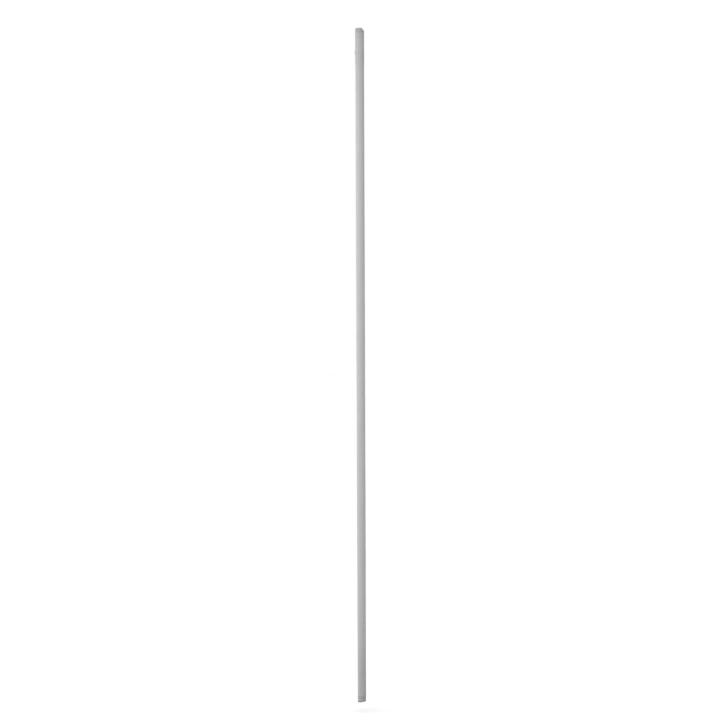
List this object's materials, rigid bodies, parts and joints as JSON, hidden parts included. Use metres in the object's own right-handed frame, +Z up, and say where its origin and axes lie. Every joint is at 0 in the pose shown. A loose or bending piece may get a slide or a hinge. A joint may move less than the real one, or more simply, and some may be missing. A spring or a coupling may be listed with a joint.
{
  "type": "white cane",
  "caption": "Rigid white cane: a straight aluminium shaft covered in white reflective sheeting, closed by a chamfered nylon plug, with a screw-in nylon wear tip.",
  "frame": {"origin": "lowest point of the wear tip, on the shaft's axis", "axes": "+Z up the shaft from the tip to the plug; -X is the side with the rivet under the upper wrap, +X the side where the plug is chamfered and the tip is worn"},
  "size_m": [0.0145, 0.0134, 1.016],
  "materials": {
    "tube_aluminium": "drawn, mill finish",
    "white_sheeting": "white retroreflective sheeting, satin",
    "plug_nylon": "moulded nylon",
    "rivet_aluminium": "bright",
    "mandrel_steel": "broken stem",
    "bush_brass": "turned",
    "pin_steel": "spring steel, oiled",
    "washer_rubber": "grey rubber",
    "tip_nylon": "moulded nylon, worn",
    "stud_steel": "zinc plated"
  },
  "bodies": {
    "shaft": {"shaft_tube": "tube_aluminium", "reflective_sheeting": "white_sheeting", "top_wrap": "white_sheeting", "butt_plug": "plug_nylon", "plug_rivet": "rivet_aluminium", "rivet_mandrel": "mandrel_steel", "tip_bush": "bush_brass", "bush_pin": "pin_steel"},
    "washer": {"cushion_washer": "washer_rubber"},
    "tip": {"glide_tip": "tip_nylon", "tip_stud": "stud_steel"}
  },
  "joints": [
    {"name": "tip_advance", "type": "slide", "parent": "shaft", "child": "washer", "axis": [0, 0, -1], "range_m": [0, 0.012]},
    {"name": "tip_turn", "type": "hinge", "parent": "washer", "child": "tip", "pos_m": [0, 0, 0.0075], "axis": [0, 0, -1], "range_deg": [0, 4320]}
  ],
  "couplings": [
    {"joint": "tip_turn", "follows": "tip_advance", "rad_per_m": 6283.2}
  ]
}
